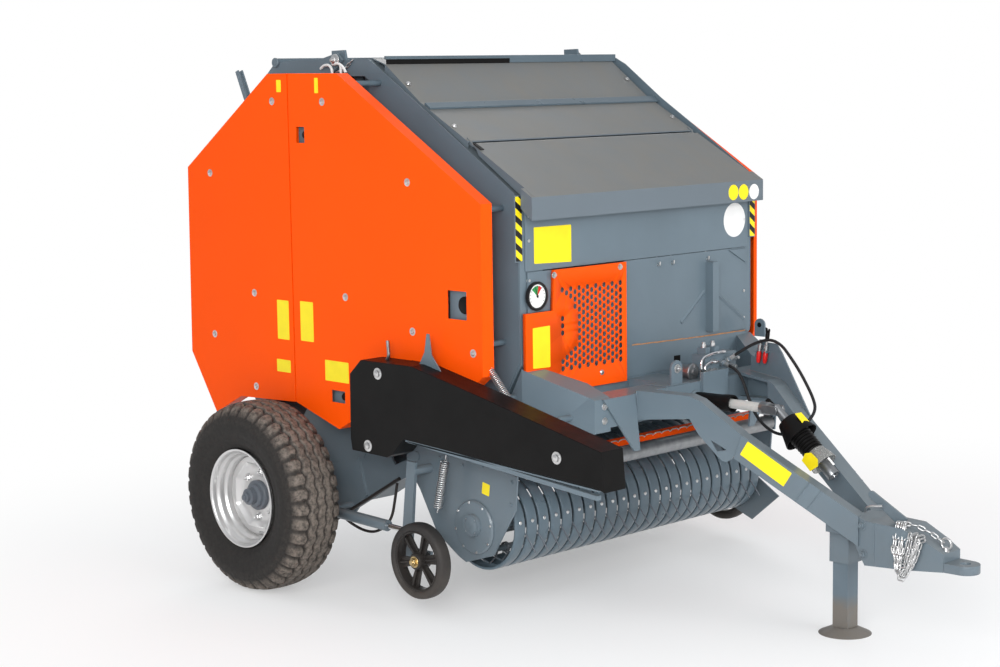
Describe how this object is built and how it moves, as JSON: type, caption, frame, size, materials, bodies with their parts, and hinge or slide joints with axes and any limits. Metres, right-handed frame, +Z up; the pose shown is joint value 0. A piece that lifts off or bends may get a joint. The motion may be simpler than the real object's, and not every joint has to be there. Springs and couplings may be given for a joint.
{
  "type": "round baler",
  "caption": "Trailed round baler with tined pickup, lifting tailgate, road wheels, drawbar and parking jack.",
  "frame": {"origin": "on the ground under the middle of the overall length and width", "axes": "+X forward to the hitch, +Y to the baler's left, +Z up"},
  "size_m": [3.574, 2.48, 2.322],
  "materials": {
    "black_plastic": "satin",
    "casting": "satin",
    "chromed": "polished",
    "grey": "glossy",
    "orange": "glossy",
    "silver": "satin",
    "steel": "satin",
    "tyre": "matte",
    "wheel_rubber": "matte"
  },
  "bodies": {
    "chassis": {"axle": "grey", "bale_gauge": "black_plastic", "chamber_floor": "grey", "drawbar": "grey", "elevator_front": "grey", "feed_strip": "grey", "front_guard": "orange", "front_plate": "grey", "gearbox": "casting", "guard_carrier": "grey", "hitch_eye": "grey", "hose_loop": "wheel_rubber", "main_frame": "grey", "panel_front_left": "orange", "panel_front_right": "orange", "pto_guard": "black_plastic", "roof": "grey", "side_frame_left": "grey", "side_frame_right": "grey", "side_guard": "black_plastic", "twine_box": "grey"},
    "tailgate": {"tailgate": "grey", "panel_rear_right": "orange", "panel_rear_left": "orange", "elevator_rear": "grey"},
    "road_wheel_right": {"tyre_right": "tyre", "rim_right": "silver"},
    "road_wheel_left": {"tyre_left": "tyre", "rim_left": "silver"},
    "gate_barrel_right": {"gate_barrel_right": "grey"},
    "gate_barrel_left": {"gate_barrel_left": "grey"},
    "gate_rod_right": {"gate_rod_right": "chromed"},
    "gate_rod_left": {"gate_rod_left": "chromed"},
    "lid": {"lid": "grey"},
    "pickup": {"pickup_frame": "grey", "pickup_bands": "grey"},
    "pickup_reel": {"pickup_reel": "grey"},
    "crop_roller": {"crop_roller": "grey"},
    "gauge_wheel_right": {"gauge_wheel_right": "wheel_rubber"},
    "gauge_wheel_left": {"gauge_wheel_left": "wheel_rubber"},
    "lift_barrel": {"lift_barrel": "grey"},
    "lift_rod": {"lift_rod": "chromed"},
    "jack_leg": {"jack_leg": "grey"},
    "pto_shaft": {"pto_shaft": "black_plastic"},
    "pto_yoke": {"pto_yoke": "steel"}
  },
  "joints": [
    {"name": "road_wheel_right_spin", "type": "hinge", "parent": "chassis", "child": "road_wheel_right", "pos_m": [-1.098, -1.105, 0.4125], "axis": [0, 1, 0], "continuous": true},
    {"name": "road_wheel_left_spin", "type": "hinge", "parent": "chassis", "child": "road_wheel_left", "pos_m": [-1.098, 1.105, 0.4125], "axis": [0, 1, 0], "continuous": true},
    {"name": "tailgate_hinge", "type": "hinge", "parent": "chassis", "child": "tailgate", "pos_m": [-0.938, 0, 2.28], "axis": [0, 1, 0], "range_deg": [0, 60]},
    {"name": "gate_barrel_right_swing", "type": "hinge", "parent": "chassis", "child": "gate_barrel_right", "pos_m": [-0.898, -0.79, 0.95], "axis": [0, 1, 0], "range_deg": [-3.63, 0]},
    {"name": "gate_rod_right_stroke", "type": "slide", "parent": "gate_barrel_right", "child": "gate_rod_right", "axis": [-0.356, 0, 0.9345], "range_m": [0, 0.56081]},
    {"name": "gate_barrel_left_swing", "type": "hinge", "parent": "chassis", "child": "gate_barrel_left", "pos_m": [-0.898, 0.79, 0.95], "axis": [0, 1, 0], "range_deg": [-3.63, 0]},
    {"name": "gate_rod_left_stroke", "type": "slide", "parent": "gate_barrel_left", "child": "gate_rod_left", "axis": [-0.356, 0, 0.9345], "range_m": [0, 0.56081]},
    {"name": "lid_hinge", "type": "hinge", "parent": "chassis", "child": "lid", "pos_m": [-0.163, 0, 1.925], "axis": [0, -1, 0], "range_deg": [0, 60]},
    {"name": "pickup_lift", "type": "hinge", "parent": "chassis", "child": "pickup", "pos_m": [-0.398, 0, 0.63], "axis": [0, -1, 0], "range_deg": [-8, 15]},
    {"name": "lift_barrel_swing", "type": "hinge", "parent": "chassis", "child": "lift_barrel", "pos_m": [-0.918, -0.89, 0.335], "axis": [0, -1, 0], "range_deg": [-0.35, 0.66]},
    {"name": "lift_rod_stroke", "type": "slide", "parent": "lift_barrel", "child": "lift_rod", "axis": [0.9996, 0, -0.0288], "range_m": [-0.04295, 0.08054]},
    {"name": "pickup_reel_spin", "type": "hinge", "parent": "pickup", "child": "pickup_reel", "pos_m": [-0.048, 0, 0.39], "axis": [0, 1, 0], "continuous": true},
    {"name": "crop_roller_spin", "type": "hinge", "parent": "chassis", "child": "crop_roller", "pos_m": [0.277, 0, 0.645], "axis": [0, 1, 0], "continuous": true},
    {"name": "gauge_wheel_right_spin", "type": "hinge", "parent": "pickup", "child": "gauge_wheel_right", "pos_m": [-0.214, -0.985, 0.241], "axis": [0, 1, 0], "continuous": true},
    {"name": "gauge_wheel_left_spin", "type": "hinge", "parent": "pickup", "child": "gauge_wheel_left", "pos_m": [-0.214, 0.985, 0.241], "axis": [0, 1, 0], "continuous": true},
    {"name": "jack_slide", "type": "slide", "parent": "chassis", "child": "jack_leg", "axis": [0, 0, 1], "range_m": [0, 0.2]},
    {"name": "pto_droop", "type": "hinge", "parent": "chassis", "child": "pto_shaft", "pos_m": [0.857, 0, 0.856], "axis": [0, -1, 0], "range_deg": [0, 45]},
    {"name": "pto_spin", "type": "hinge", "parent": "pto_shaft", "child": "pto_yoke", "pos_m": [1.104, 0, 0.646], "axis": [0.7619, 0, -0.6477], "continuous": true}
  ],
  "couplings": [
    {"joint": "gate_barrel_right_swing", "follows": "tailgate_hinge", "ratio": -0.06039},
    {"joint": "gate_barrel_left_swing", "follows": "tailgate_hinge", "ratio": -0.06039},
    {"joint": "gate_rod_right_stroke", "follows": "tailgate_hinge", "m_per_rad": 0.53447},
    {"joint": "gate_rod_left_stroke", "follows": "tailgate_hinge", "m_per_rad": 0.53447},
    {"joint": "lift_barrel_swing", "follows": "pickup_lift", "ratio": 0.04417},
    {"joint": "lift_rod_stroke", "follows": "pickup_lift", "m_per_rad": 0.30701}
  ]
}
